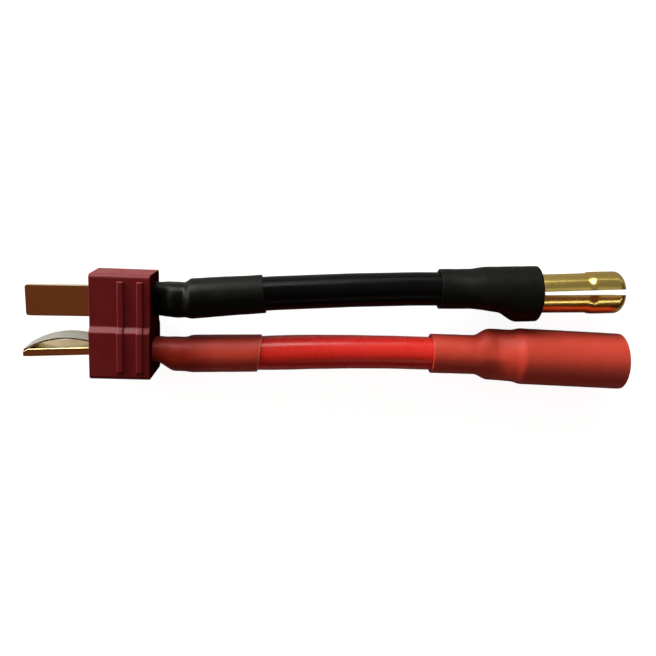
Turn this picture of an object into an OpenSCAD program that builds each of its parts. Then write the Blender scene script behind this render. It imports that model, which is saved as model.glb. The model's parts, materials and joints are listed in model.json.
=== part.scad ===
// Battery adapter cable: a two-blade T plug at one end, a slotted bullet pin and a bullet socket
// at the other, joined by two short silicone wires under shrunk sleeves. Millimetres.
// The origin is the centre of the plug's mating face. +X runs back along the cable,
// +Y points from the cross blade to the stem blade, and +Z is up.
// The cable lies flat: the lower ribs of the plug and the two bullet sleeves touch one plane.

/* [Plug housing] */
// Length from the mating face to the rear face
housing_len = 8.5; // [7:0.1:12]
// Width across both blades
housing_w = 15; // [14:0.1:18]
// Thickness of the half that holds the cross blade
housing_t = 8; // [7:0.1:10]
// How far each broad face of the stem half is set in
step_drop = 0.65; // [0.2:0.05:1]
// Where the set-in faces of the stem half begin, across the width
step_y = 0; // [-0.6:0.1:0.4]
// Length of the ramp between the two halves, across the width
step_run = 0.8; // [0.3:0.1:1.2]
// Radius of the long edges
edge_r = 0.6; // [0.2:0.1:1]
// Width of a grip rib
rib_w = 1; // [0.5:0.05:1.5]
// Height of a grip rib
rib_h = 0.3; // [0.1:0.05:0.6]
// Distance between the grip ribs
rib_pitch = 2.7; // [1.8:0.1:3.5]
// Distance from the last rib to the rear face
rib_inset = 0.9; // [0.3:0.05:1.5]
// Distance from a rib's end to the side of the housing
rib_margin = 0.95; // [0.7:0.05:2]

/* [Blades] */
// Width of a blade
blade_w = 4.5; // [4:0.1:5.5]
// Thickness of a blade
blade_t = 1.2; // [0.8:0.05:1.5]
// Length of a blade in front of the mating face
blade_len = 9.7; // [8:0.1:12]
// Length of the lead-in bevel at the tip
bevel_len = 0.9; // [0.5:0.1:1.5]
// Depth of the bevel on the spring side
bevel_spring = 0.45; // [0.1:0.05:0.5]
// Depth of the bevel on the plain side
bevel_plain = 0.15; // [0.05:0.05:0.25]
// Corner cut at the tip
tip_cut = 0.35; // [0.1:0.05:0.6]
// Width of the solder tab
tab_w = 2.6; // [2:0.1:2.8]
// Length of the solder tab behind the rear face
tab_len = 4.3; // [3:0.1:4.6]
// Thickness of the rear wall that the blade's shoulders seat on
rear_wall = 2; // [1.2:0.1:3]
// Centre of the stem blade, across the width
stem_y = 3.15; // [2.9:0.05:3.6]
// Centre of the cross blade, across the width
cross_y = -3.9; // [-4.3:0.05:-3.6]

/* [Contact springs] */
// Width of a spring strip
spring_w = 3.7; // [2.5:0.1:4]
// Thickness of a spring strip
spring_t = 0.25; // [0.15:0.05:0.4]
// Free height under the bow
spring_rise = 1.25; // [0.6:0.05:1.4]
// How far the bow runs into the housing
spring_reach = 1.4; // [0.5:0.1:2.5]
// Length of the flat foot inside the housing
spring_foot = 1.2; // [0.5:0.1:2]

/* [Wires] */
// Diameter over the insulation
wire_d = 5; // [4.6:0.1:5.2]
// Diameter of the stranded conductor
conductor_d = 2.9; // [2.3:0.1:3.2]
// Bare stretch between a tab and the insulation
bare_len = 1.4; // [0.8:0.1:2.2]
// Width of the conductor where it is pressed flat on its tab
flat_w = 3; // [2.4:0.1:3.4]
// Height of the conductor where it is pressed flat on its tab
flat_h = 1.8; // [1.4:0.1:2]
// Gap between the rear face and the end of the conductor
flat_start = 2.2; // [1.6:0.1:2.8]
// Gap between the conductor's end and the floor of its solder cup
cup_room = 1.2; // [0.4:0.1:2]

/* [Sleeves] */
// Wall of a plug sleeve
plug_wall = 0.25; // [0.2:0.05:0.5]
// Wall of a bullet sleeve
bullet_wall = 0.43; // [0.3:0.01:0.7]
// Room between a sleeve and what it is shrunk on
sleeve_gap = 0.06; // [0.05:0.01:0.15]
// Extra room in the black sleeve at its shoulder, where it shrank least
black_swell = 0.13; // [0:0.01:0.3]
// Length of the black sleeve on the plug
black_plug_len = 16; // [12:0.1:20]
// Length of the red sleeve on the plug
red_plug_len = 15.4; // [12:0.1:20]
// Overlap of the black bullet sleeve on its wire
black_lap = 6.6; // [4:0.1:10]
// Overlap of the red bullet sleeve on its wire
red_lap = 7.3; // [4:0.1:10]
// How far the red sleeve stands past the socket's mouth
socket_lip = 0.45; // [0.1:0.05:1]

/* [Bullet pin] */
// Outer diameter of the pin's solder cup
pin_cup_d = 7.4; // [6.8:0.1:8]
// Length of the pin's solder cup
pin_cup_len = 7.8; // [7:0.1:9]
// Diameter at the root of the leaves
root_d = 5.8; // [5:0.1:6.2]
// Diameter of the leaves where the contact band's ramp begins
neck_d = 6; // [5.4:0.1:6.3]
// Diameter of the contact band near the tip
contact_d = 6.4; // [5.8:0.1:6.8]
// Length of the pin in front of its cup
pin_len = 13.1; // [12:0.1:16]
// Distance from the cup to the contact band's ramp
root_len = 7.4; // [5:0.1:8.4]
// Length of the ramp up to the contact band
ramp_len = 0.9; // [0.4:0.1:1.5]
// Radius of the nose
nose_r = 1.3; // [0.6:0.1:1.6]
// Bore between the leaves
leaf_bore_d = 2.6; // [1.6:0.1:3]
// Uncut length behind that bore
bore_stop = 0.9; // [0.6:0.1:2]
// Slot width at the root of the leaves
slot_root = 0.5; // [0.3:0.05:0.8]
// Slot width at the tip
slot_tip = 1.05; // [0.5:0.05:1.2]
// Uncut length at the root of the leaves
slot_stop = 0.5; // [0.2:0.1:1.5]
// Turn of the slots about the pin's axis, in degrees
slot_turn = -9.4; // [-45:0.1:45]
// Swing of the pin in the plane that it lies on, in degrees
pin_swing = 2.05; // [0:0.05:3]

/* [Bullet socket] */
// Outer diameter of the socket's solder cup
socket_cup_d = 7; // [6.6:0.1:7.5]
// Length of the socket's solder cup
socket_cup_len = 5.3; // [5:0.1:7]
// Outer diameter of the socket
socket_d = 7.6; // [7.2:0.1:8.2]
// Bore that takes a bullet pin
socket_bore_d = 6; // [5.5:0.1:6.4]
// Depth of that bore
socket_depth = 12.5; // [10:0.1:13]
// Length of the whole socket
socket_len = 19.9; // [19:0.1:24]
// Lead-in chamfer at the mouth
mouth_chamfer = 0.4; // [0.1:0.05:0.7]
// Swing of the socket in the plane that it lies on, in degrees
socket_swing = -2.3; // [-3:0.05:0]

/* [Solder cups] */
// Wall of a solder cup
cup_wall = 0.65; // [0.4:0.05:0.9]
// Thickness of metal left at the bottom of a cup
cup_floor = 1; // [0.6:0.1:1.6]
// Length of the open half at the back of the pin's cup
pin_scoop = 3.6; // [2:0.1:4]
// Length of the open half at the back of the socket's cup
socket_scoop = 2.2; // [1:0.1:2.4]
// Length of the slanting end of an open half
scoop_slant = 1.8; // [1:0.1:2]
// Gap between the insulation and the pin's cup
pin_gap = 0.4; // [0.2:0.1:3]
// Gap between the insulation and the socket's cup
socket_gap = 1.9; // [0.2:0.1:3]
// Sideways shift of the pin from its wire
pin_shift = -0.85; // [-1:0.05:0]
// Sideways shift of the socket from its wire
socket_shift = 0.05; // [-0.4:0.05:0.4]

/* [Solder] */
// Solder that stands past the edges of a tab
solder_side = 0.86; // [0.65:0.01:1]
// Solder on the bare face of a tab
solder_back = 0.8; // [0.4:0.05:1]
// Solder over the flattened conductor
solder_over = 0.55; // [0.3:0.05:0.7]
// Gap between the rear face and the solder
solder_start = 0.4; // [0.2:0.1:1]
// Room between the solder and the metal that it joins
solder_fit = 0.02; // [0.01:0.01:0.1]

/* [Hidden] */

// The wires by number: black runs to the stem blade and the pin, red to the cross blade and the socket.
BLACK = 0;
RED = 1;

// Where the insulation starts, from the rear face of the housing.
strip_x = tab_len + bare_len;

// Routes of the two wires over their insulation. X counts from the rear face of the housing.
ROUTES = [
    [[strip_x, 3.9, 1.2], [8, 4.1, 1.15], [11, 4.35, 1.1], [14, 4.55, 1], [17, 4.8, 0.9], [20, 4.95, 0.75],
     [23, 5.1, 0.6], [26, 5.25, 0.5], [29, 5.4, 0.4], [32, 5.5, 0.3], [35, 5.6, 0.2], [38, 5.7, 0.1],
     [41, 5.75, 0.05], [44, 5.8, 0], [46.5, 5.85, -0.1], [48.5, 5.85, -0.1]],
    [[strip_x, -4.6, 0], [8, -4.55, 0], [11, -4.5, 0], [14, -4.45, 0], [17, -4.35, 0], [20, -4.25, 0],
     [23, -4.15, 0], [26, -4.1, 0], [29, -4.05, 0], [32, -4.05, 0], [35, -4.05, 0], [38, -4.1, 0],
     [41, -4.15, 0], [44, -4.2, 0], [46.5, -4.25, 0], [48.5, -4.3, 0]]
];

wire_sides = 12;
sleeve_sides = 24;
slot_room = 0.05;
over = 0.1;
round_fn = 96;
bow_fn = 4 * round_fn;

// Squareness of a plain ellipse; more makes a section boxier.
ROUND = 2;

rest_z = -(housing_t / 2 + rib_h);
route_end = ROUTES[BLACK][len(ROUTES[BLACK]) - 1].x;
plug_lens = [black_plug_len, red_plug_len];
laps = [black_lap, red_lap];

cup_ds = [pin_cup_d, socket_cup_d];
cup_lens = [pin_cup_len, socket_cup_len];
front_ds = [pin_cup_d, socket_d];
sleeve_fronts = [pin_cup_len, socket_len + socket_lip];
swings = [pin_swing, socket_swing];
shifts = [pin_shift, socket_shift];
scoops = [pin_scoop, socket_scoop];
gaps = [pin_gap, socket_gap];
swells = [black_swell, 0];

// Sleeve radius over the front of a bullet, which is also the height of its axis above the ground.
function front_r(w) = front_ds[w] / 2 + sleeve_gap + bullet_wall;
function bullet_x(w) = route_end + gaps[w];
function bullet_z(w) = rest_z + front_r(w);
function bullet_y(w) = along(w, route_end).x + shifts[w];

// Where a wire is at one X: [y, z].
function along(w, x) = [
    lookup(x, [for (p = ROUTES[w]) [p.x, p.y]]),
    lookup(x, [for (p = ROUTES[w]) [p.x, p.z]])
];

// The same place in the frame of the blade that the wire is soldered to.
function by_blade(w, p) = w == BLACK ? [p.x - stem_y, p.y] : [p.y, cross_y - p.x];

function ease(t) = t <= 0 ? 0 : t >= 1 ? 1 : t * t * (3 - 2 * t);
function blend(a, b, x0, x1, x) = a + (b - a) * ease((x - x0) / (x1 - x0));
function stations(x0, x1, count) = [for (i = [0:count]) x0 + (x1 - x0) * i / count];
function root_of(t, squareness) = sign(t) * pow(abs(t), ROUND / squareness);

// One cross-section at x. Its widest lines cross at mid, and lo and hi are its edges, each as [y, z].
// Between its widest lines it is made of quarter ellipses, or of boxier quarters.
function reach(mid, lo, hi, t, squareness) = mid + root_of(t, squareness) * (t < 0 ? mid - lo : hi - mid);
function ring(x, mid, lo, hi, sides, squareness = ROUND) = [
    for (i = [0:sides - 1]) [
        x,
        reach(mid.x, lo.x, hi.x, cos(360 * i / sides), squareness),
        reach(mid.y, lo.y, hi.y, sin(360 * i / sides), squareness)
    ]
];
function round_ring(x, c, r, sides) = ring(x, c, c - [r, r], c + [r, r], sides);

// Triangles between each section and the next.
function side_faces(sections, n) = [
    for (j = [0:sections - 2], i = [0:n - 1])
        let (a = j * n + i, b = j * n + (i + 1) % n)
        each [[a, a + n, b + n], [a, b + n, b]]
];

// A solid through a row of cross-sections.
module loft(rings) {
    n = len(rings[0]);
    end = (len(rings) - 1) * n;
    polyhedron([for (r = rings) each r], concat(
        [[for (i = [0:n - 1]) i]],
        side_faces(len(rings), n),
        [[for (i = [n - 1:-1:0]) end + i]]
    ));
}

// A tube between two rows of cross-sections, open at both ends.
module loft_tube(outer, inner) {
    n = len(outer[0]);
    end = (len(outer) - 1) * n;
    to_inner = len(outer) * n;
    skin = side_faces(len(outer), n);
    polyhedron([for (r = concat(outer, inner)) each r], concat(
        skin,
        [for (f = skin) [for (k = [2, 1, 0]) f[k] + to_inner]],
        [for (i = [0:n - 1]) let (j = (i + 1) % n) [i, j, j + to_inner, i + to_inner]],
        [for (i = [0:n - 1]) let (j = (i + 1) % n)
            [end + j, end + i, end + i + to_inner, end + j + to_inner]]
    ));
}

// A solid of revolution about X, from a profile drawn as [radius, x].
module turned() {
    rotate([0, 90, 0]) rotate_extrude($fn = round_fn) children();
}

module rod(d, x0, x1) {
    translate([x0, 0, 0]) rotate([0, 90, 0]) cylinder(d = d, h = x1 - x0, $fn = round_fn);
}

// A prism along X from a profile drawn as [y, z].
module prism(x0, x1) {
    translate([x0, 0, 0]) rotate([90, 0, 90]) linear_extrude(x1 - x0) children();
}

module mirrored_z() {
    children();
    mirror([0, 0, 1]) children();
}

// Places what is drawn beside a flat blade at the stem or the cross blade.
module at_blade(w) {
    translate([0, w == BLACK ? stem_y : cross_y, 0]) rotate([w == BLACK ? 0 : 90, 0, 0]) children();
}

module at_rear() {
    translate([housing_len, 0, 0]) children();
}

module at_bullet(w) {
    at_rear() translate([bullet_x(w), bullet_y(w), bullet_z(w)]) rotate([0, 0, swings[w]]) children();
}

// Plug housing

thick = housing_t / 2;
thin = thick - step_drop;
side_y = housing_w / 2;
ramp_y = step_y - step_run;

// What a round edge takes off a square corner that points along +Y and +Z.
module corner_waste(y, z) {
    translate([y - edge_r, z - edge_r]) difference() {
        square(edge_r + over);
        circle(edge_r, $fn = round_fn);
    }
}

module housing_half_section() {
    difference() {
        polygon([
            [-side_y, 0], [-side_y, thick], [ramp_y, thick],
            [step_y, thin], [side_y, thin], [side_y, 0]
        ]);
        corner_waste(side_y, thin);
        mirror([1, 0]) corner_waste(side_y, thick);
    }
}

// A grip rib follows the broad face over the ramp and slopes down at both ends.
module rib_section() {
    end = side_y - rib_margin;
    polygon([
        [-end, thin], [-end, thick], [-end + rib_h, thick + rib_h],
        [ramp_y, thick + rib_h], [step_y, thin + rib_h],
        [end - rib_h, thin + rib_h], [end, thin], [end, thin - rib_h], [step_y, thin - rib_h]
    ]);
}

// The way through the housing for one contact: the blade, its tab and the spring beside it.
module contact_way() {
    seat = housing_len - rear_wall;
    way_w = blade_w + 2 * slot_room;
    way_t = blade_t + 2 * slot_room;
    translate([-over, -way_w / 2, -way_t / 2]) cube([seat + over, way_w, way_t]);
    tab_way = tab_w + 2 * slot_room;
    translate([0, -tab_way / 2, -way_t / 2]) cube([housing_len + over, tab_way, way_t]);
    pocket_w = spring_w + 2 * slot_room;
    pocket_h = blade_t / 2 + spring_rise + spring_t + slot_room;
    translate([-over, -pocket_w / 2, -pocket_h])
        cube([spring_tail + slot_room + over, pocket_w, pocket_h]);
}

module plug_housing() {
    color("#7a1f22") difference() {
        union() {
            prism(0, housing_len) union() {
                housing_half_section();
                mirror([0, 1]) housing_half_section();
            }
            for (i = [0, 1]) {
                x = housing_len - rib_inset - rib_w - i * rib_pitch;
                mirrored_z() prism(x, x + rib_w) rib_section();
            }
        }
        for (w = [BLACK, RED]) at_blade(w) contact_way();
    }
}

// Contacts

bevel_x = -blade_len + bevel_len;
spring_span = spring_reach - bevel_x;
spring_tail = spring_reach + spring_foot;
bow_r = (pow(spring_span / 2, 2) + pow(spring_rise, 2)) / (2 * spring_rise);

module blade() {
    w = blade_w / 2;
    t = blade_t / 2;
    seat = housing_len - rear_wall;
    end = housing_len + tab_len;
    intersection() {
        translate([0, 0, -t]) linear_extrude(blade_t) polygon([
            [-blade_len, -w + tip_cut], [-blade_len + tip_cut, -w], [seat, -w],
            [seat, -tab_w / 2], [end, -tab_w / 2], [end, tab_w / 2], [seat, tab_w / 2],
            [seat, w], [-blade_len + tip_cut, w], [-blade_len, w - tip_cut]
        ]);
        translate([0, w, 0]) rotate([90, 0, 0]) linear_extrude(blade_w) polygon([
            [-blade_len, -t + bevel_spring], [bevel_x, -t], [end, -t],
            [end, t], [bevel_x, t], [-blade_len, t - bevel_plain]
        ]);
    }
}

// A bowed strip under the blade: a toe on the bevel, the bow, and a flat foot inside the housing.
module spring_profile() {
    toe_slope = atan2(bevel_spring, bevel_len);
    toe_len = bevel_len - over;
    intersection() {
        translate([bevel_x + spring_span / 2, bow_r - spring_rise]) difference() {
            circle(bow_r + spring_t, $fn = bow_fn);
            circle(bow_r, $fn = bow_fn);
        }
        translate([bevel_x - bevel_len, -2 * bow_r]) square([spring_span + 2 * bevel_len, 2 * bow_r]);
    }
    translate([spring_reach - over, -spring_t]) square([spring_foot + over, spring_t]);
    translate([bevel_x, 0]) rotate(-toe_slope)
        translate([-toe_len, -spring_t]) square([toe_len + over, spring_t]);
}

module blade_spring() {
    translate([0, spring_w / 2, -blade_t / 2]) rotate([90, 0, 0]) linear_extrude(spring_w) spring_profile();
}

module stem_blade() { color("#b98a3c") at_blade(BLACK) blade(); }
module cross_blade() { color("#b98a3c") at_blade(RED) blade(); }
module stem_spring() { color("#c9c7bd") at_blade(BLACK) blade_spring(); }
module cross_spring() { color("#c9c7bd") at_blade(RED) blade_spring(); }

// Wires, drawn beside the blade that each is soldered to

// A wire comes in off the blade's centre line, and the joint on its tab sits part of the way over.
lean_share = 0.65;
function lean(w) = lean_share * by_blade(w, along(w, strip_x)).x;

function wire_rings(w, r) = [
    for (p = ROUTES[w]) round_ring(p.x, by_blade(w, [p.y, p.z]), r, wire_sides)
];

// The stripped end is pressed flat against its tab, and the other end runs straight into its cup.
function conductor_rings(w, grow) =
    let (
        r = conductor_d / 2 + grow,
        mid = [lean(w), (blade_t + flat_h) / 2],
        half = [flat_w, flat_h] / 2 + [grow, grow],
        flat = function (x) ring(x, mid, mid - half, mid + half, wire_sides),
        stop = by_blade(w, along(w, route_end))
    ) concat(
        [flat(flat_start - grow), flat(tab_len)],
        wire_rings(w, r),
        [round_ring(bullet_x(w) + cup_lens[w] - cup_floor - cup_room + grow, stop, r, wire_sides)]
    );

module conductor(w, grow = 0) {
    at_rear() at_blade(w) loft(conductor_rings(w, grow));
}

module insulation(w) {
    at_rear() at_blade(w) loft_tube(wire_rings(w, wire_d / 2), wire_rings(w, conductor_d / 2));
}

module black_conductor() { color("#b8734a") conductor(BLACK); }
module red_conductor() { color("#b8734a") conductor(RED); }
module black_insulation() { color("#141414") insulation(BLACK); }
module red_insulation() { color("#c42a22") insulation(RED); }

// Plug sleeves and the solder under them, drawn beside the blade

tab_end = tab_len + over;
shoulder_end = strip_x - over;
tab_squareness = 3.2;
hump_h = 0.2;
hump_x = (flat_start + tab_len) / 2;
hump_reach = tab_len / 2;
neck_stations = 12;
lap_start = shoulder_end + 2;
lap_stations = 3;
joint_stations = 6;

// One section through a soldered tab and then the wire, grown by an allowance on all sides.
function tab_ring(w, x, grow) =
    let (
        c = by_blade(w, along(w, max(x, strip_x))),
        wire_r = wire_d / 2 + grow + blend(swells[w], 0, shoulder_end, plug_lens[w], x),
        hump = hump_h * (1 - ease(abs(x - hump_x) / hump_reach)),
        side = tab_w / 2 + solder_side + grow + hump,
        back = -(blade_t / 2 + solder_back + grow),
        crown = blade_t / 2 + flat_h + solder_over + grow,
        front = blend(-back, crown, 0, hump_x, x),
        edge = function (tab, wire) blend(tab, wire, tab_end, shoulder_end, x)
    ) ring(
        x,
        edge([lean(w), (front + back) / 2], c),
        edge([lean(w) - side, back], c - [wire_r, wire_r]),
        edge([lean(w) + side, front], c + [wire_r, wire_r]),
        sleeve_sides,
        blend(tab_squareness, ROUND, tab_end, shoulder_end, x)
    );

function plug_sleeve_rings(w, grow) = [
    for (x = concat(
        stations(over, shoulder_end, neck_stations),
        stations(lap_start, plug_lens[w], lap_stations)
    )) tab_ring(w, x, grow)
];

module plug_sleeve(w) {
    at_rear() at_blade(w)
        loft_tube(plug_sleeve_rings(w, sleeve_gap + plug_wall), plug_sleeve_rings(w, sleeve_gap));
}

// Solder fills the sleeve round the tab, up to the end of the insulation.
module plug_solder(w) {
    difference() {
        at_rear() at_blade(w)
            loft([for (x = stations(solder_start, tab_end, joint_stations)) tab_ring(w, x, 0)]);
        at_blade(w) tab_room();
        conductor(w, solder_fit);
    }
}

// The solder tab with the room that the solder leaves round it.
module tab_room() {
    w = tab_w + 2 * solder_fit;
    t = blade_t + 2 * solder_fit;
    translate([housing_len, -w / 2, -t / 2]) cube([tab_len + solder_fit, w, t]);
}

module black_plug_solder() { color("#b9bcc0") plug_solder(BLACK); }
module red_plug_solder() { color("#b9bcc0") plug_solder(RED); }
module black_plug_sleeve() { color("#1d1d1a") plug_sleeve(BLACK); }
module red_plug_sleeve() { color("#b2432e") plug_sleeve(RED); }

// Bullets

// The open half of each cup faces sideways on the pin and up on the socket.
open_turns = [0, -90];

// What is missing at the open back of a cup: half of it up to x0, and then a slant out to the rim.
module open_half(w, x0) {
    r = cup_ds[w] / 2 + over;
    rotate([open_turns[w], 0, 0]) translate([0, 0, -r]) linear_extrude(2 * r)
        polygon([[-over, 0], [x0, 0], [scoops[w] + scoop_slant, -r], [-over, -r]]);
}

module cup_cut(w) {
    rod(cup_ds[w] - 2 * cup_wall, -over, cup_lens[w] - cup_floor);
    open_half(w, scoops[w]);
}

module pin_slot() {
    x0 = pin_cup_len + slot_stop;
    x1 = pin_cup_len + pin_len + over;
    translate([0, 0, -contact_d]) linear_extrude(2 * contact_d)
        polygon([[x0, -slot_root / 2], [x1, -slot_tip / 2], [x1, slot_tip / 2], [x0, slot_root / 2]]);
}

module bullet_pin() {
    tip = pin_cup_len + pin_len;
    band = pin_cup_len + root_len + ramp_len;
    contact_r = contact_d / 2;
    color("#d8a93f") at_bullet(BLACK) difference() {
        rotate([slot_turn, 0, 0]) difference() {
            turned() union() {
                polygon([
                    [0, 0], [pin_cup_d / 2, 0], [pin_cup_d / 2, pin_cup_len], [root_d / 2, pin_cup_len],
                    [neck_d / 2, pin_cup_len + root_len], [contact_r, band],
                    [contact_r, tip - nose_r], [contact_r - nose_r, tip - nose_r],
                    [contact_r - nose_r, tip], [0, tip]
                ]);
                translate([contact_r - nose_r, tip - nose_r]) intersection() {
                    circle(nose_r, $fn = round_fn);
                    square(nose_r);
                }
            }
            rod(leaf_bore_d, pin_cup_len + bore_stop, tip + over);
            for (a = [0, 90]) rotate([a, 0, 0]) pin_slot();
        }
        cup_cut(BLACK);
    }
}

module bullet_socket() {
    bore_r = socket_bore_d / 2;
    shoulder = (socket_d - socket_cup_d) / 2;
    color("#d8a93f") at_bullet(RED) difference() {
        turned() polygon([
            [0, 0], [socket_cup_d / 2, 0], [socket_cup_d / 2, socket_cup_len],
            [socket_d / 2, socket_cup_len + shoulder], [socket_d / 2, socket_len],
            [bore_r + mouth_chamfer, socket_len], [bore_r, socket_len - mouth_chamfer],
            [bore_r, socket_len - socket_depth], [0, socket_len - socket_depth]
        ]);
        cup_cut(RED);
    }
}

// Solder fills the closed half of a cup round the conductor and slopes up through the open half.
module cup_solder(w) {
    difference() {
        at_bullet(w) difference() {
            rod(cup_ds[w] - 2 * (cup_wall + solder_fit), over, cup_lens[w] - cup_floor - solder_fit);
            open_half(w, scoops[w] / 2);
        }
        conductor(w, solder_fit);
    }
}

module pin_cup_solder() { color("#b9bcc0") cup_solder(BLACK); }
module socket_cup_solder() { color("#b9bcc0") cup_solder(RED); }

// Bullet sleeves

// Where each edge of a sleeve leaves the wire and where it meets the cup, from the back of the cup.
// The closed side and the flanks step up before the cup. The open side sags over the open half
// and comes up late, at its rim.
cup_stations = 24;
flank_rise = 2.6;
flank_step = [-flank_rise - over, -over];
open_lead = 5.6;
open_sag = 0.3;
rim_lead = 1.1;
function open_share(w, d) =
    blend(0, open_sag, scoops[w] - open_lead, scoops[w], d)
    + blend(0, 1 - open_sag, scoops[w] - rim_lead, scoops[w] + scoop_slant / 2, d);

// How far along the bullet its sleeve reaches the front diameter, just short of the shoulder.
shoulder_room = 0.6;
shoulder_rise = 2.4;
function sleeve_full(w) = cup_lens[w] - shoulder_room;

function bullet_ring(w, x, grow) =
    let (
        c = along(w, min(x, route_end)),
        wire_r = wire_d / 2 + grow,
        d = x - bullet_x(w),
        cup_r = cup_ds[w] / 2 + grow,
        full = sleeve_full(w),
        r = blend(cup_r, front_ds[w] / 2 + grow, full - shoulder_rise, full, d),
        axis = [bullet_y(w) + d * tan(swings[w]), bullet_z(w)],
        closed = blend(0, 1, flank_step[0], flank_step[1], d),
        open = open_share(w, d),
        y_lo = w == BLACK ? open : closed,
        z_hi = w == BLACK ? closed : open,
        edge = function (wire, cup, share) wire + (cup - wire) * share
    ) ring(
        x,
        edge(c, axis, closed),
        [edge(c.x - wire_r, axis.x - r, y_lo), edge(c.y - wire_r, axis.y - r, closed)],
        [edge(c.x + wire_r, axis.x + r, closed), edge(c.y + wire_r, axis.y + r, z_hi)],
        sleeve_sides
    );

function bullet_sleeve_rings(w, grow) =
    let (
        step_x = bullet_x(w) + min(flank_step[0], scoops[w] - open_lead),
        full_x = bullet_x(w) + sleeve_full(w)
    )
    [
        for (x = concat(
            [route_end - laps[w]],
            stations(step_x, full_x, cup_stations),
            [bullet_x(w) + sleeve_fronts[w]]
        )) bullet_ring(w, x, grow)
    ];

module bullet_sleeve(w) {
    at_rear()
        loft_tube(bullet_sleeve_rings(w, sleeve_gap + bullet_wall), bullet_sleeve_rings(w, sleeve_gap));
}

module black_bullet_sleeve() { color("#1d1d1a") bullet_sleeve(BLACK); }
module red_bullet_sleeve() { color("#b2432e") bullet_sleeve(RED); }

plug_housing();
stem_blade();
cross_blade();
stem_spring();
cross_spring();
black_conductor();
red_conductor();
black_insulation();
red_insulation();
black_plug_solder();
red_plug_solder();
black_plug_sleeve();
red_plug_sleeve();
bullet_pin();
bullet_socket();
pin_cup_solder();
socket_cup_solder();
black_bullet_sleeve();
red_bullet_sleeve();
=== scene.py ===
import json
import math

import bmesh
import bpy
from mathutils import Matrix, Vector


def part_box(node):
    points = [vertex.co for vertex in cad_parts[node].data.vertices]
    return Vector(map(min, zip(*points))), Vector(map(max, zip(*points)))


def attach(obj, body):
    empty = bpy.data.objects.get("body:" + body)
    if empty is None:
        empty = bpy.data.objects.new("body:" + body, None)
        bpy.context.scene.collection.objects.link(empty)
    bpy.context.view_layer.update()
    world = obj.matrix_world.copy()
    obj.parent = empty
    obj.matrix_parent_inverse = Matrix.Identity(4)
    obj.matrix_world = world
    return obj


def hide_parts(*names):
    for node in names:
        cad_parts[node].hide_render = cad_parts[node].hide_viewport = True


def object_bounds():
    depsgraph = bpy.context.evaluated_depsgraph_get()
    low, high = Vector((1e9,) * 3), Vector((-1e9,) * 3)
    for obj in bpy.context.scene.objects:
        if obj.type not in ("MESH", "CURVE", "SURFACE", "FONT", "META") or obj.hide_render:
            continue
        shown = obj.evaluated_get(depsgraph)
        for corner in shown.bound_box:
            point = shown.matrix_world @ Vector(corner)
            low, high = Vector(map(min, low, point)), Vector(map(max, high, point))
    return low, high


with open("model.json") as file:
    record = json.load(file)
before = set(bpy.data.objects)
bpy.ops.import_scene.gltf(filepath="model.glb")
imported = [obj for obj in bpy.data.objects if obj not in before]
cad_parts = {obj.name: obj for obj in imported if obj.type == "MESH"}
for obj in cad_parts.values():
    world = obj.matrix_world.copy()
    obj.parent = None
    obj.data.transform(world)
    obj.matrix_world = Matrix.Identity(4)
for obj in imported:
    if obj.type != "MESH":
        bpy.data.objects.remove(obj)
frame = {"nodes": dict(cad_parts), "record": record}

cadLow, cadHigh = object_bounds()
mm = 0.001
tiny = 0.01 * mm
past = 1  # mm by which a cutter passes the faces that it cuts
scene = bpy.context.scene
scene.view_settings.view_transform = "Standard"
mounts = {mount["name"]: mount for mount in frame["record"]["mounts"]}


# small helpers: selecting, cutting, modifiers, nodes

def clearSelection():
    if bpy.context.object and bpy.context.object.mode != "OBJECT":
        bpy.ops.object.mode_set(mode="OBJECT")
    bpy.ops.object.select_all(action="DESELECT")


def selectOnly(piece):
    clearSelection()
    piece.select_set(True)
    bpy.context.view_layer.objects.active = piece


def startEdit(piece):
    selectOnly(piece)
    bpy.ops.object.mode_set(mode="EDIT")


def endEdit():
    bpy.ops.object.mode_set(mode="OBJECT")


def bakePlace(piece):
    selectOnly(piece)
    bpy.ops.object.transform_apply(location=True, rotation=True, scale=True)


def pick(kind, test):
    parts = {"VERT": "verts", "EDGE": "edges", "FACE": "faces"}[kind]
    bpy.ops.mesh.select_mode(type=kind)
    bpy.ops.mesh.select_all(action="DESELECT")
    data = bpy.context.object.data
    live = bmesh.from_edit_mesh(data)
    for part in getattr(live, parts):
        if test(part):
            part.select_set(True)
    live.select_flush_mode()
    bmesh.update_edit_mesh(data)


def cutAcross(at, facing):
    bpy.ops.mesh.select_all(action="SELECT")
    bpy.ops.mesh.bisect(plane_co=at, plane_no=facing)


def joinFlatFaces():
    bpy.ops.mesh.select_all(action="SELECT")
    bpy.ops.mesh.dissolve_limited(angle_limit=math.radians(0.5))


def closeSeams(size):
    bpy.ops.mesh.select_all(action="SELECT")
    bpy.ops.mesh.remove_doubles(threshold=size)
    bpy.ops.mesh.normals_make_consistent(inside=False)


def addBox(name, low, high):
    clearSelection()
    low, high = Vector(low), Vector(high)
    bpy.ops.mesh.primitive_cube_add(size=1, location=(low + high) / 2, scale=high - low)
    piece = bpy.context.object
    piece.name = name
    bakePlace(piece)
    return piece


def twinOf(piece):
    twin = piece.copy()
    twin.data = piece.data.copy()
    scene.collection.objects.link(twin)
    return twin


def applyModifier(piece, kind, **settings):
    modifier = piece.modifiers.new(kind.lower(), kind)
    for key, value in settings.items():
        setattr(modifier, key, value)
    selectOnly(piece)
    bpy.ops.object.modifier_apply(modifier=modifier.name)


def dropSlivers(piece, size):
    startEdit(piece)
    bpy.ops.mesh.select_all(action="SELECT")
    bpy.ops.mesh.remove_doubles(threshold=size)
    bpy.ops.mesh.dissolve_degenerate(threshold=size)
    endEdit()


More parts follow.
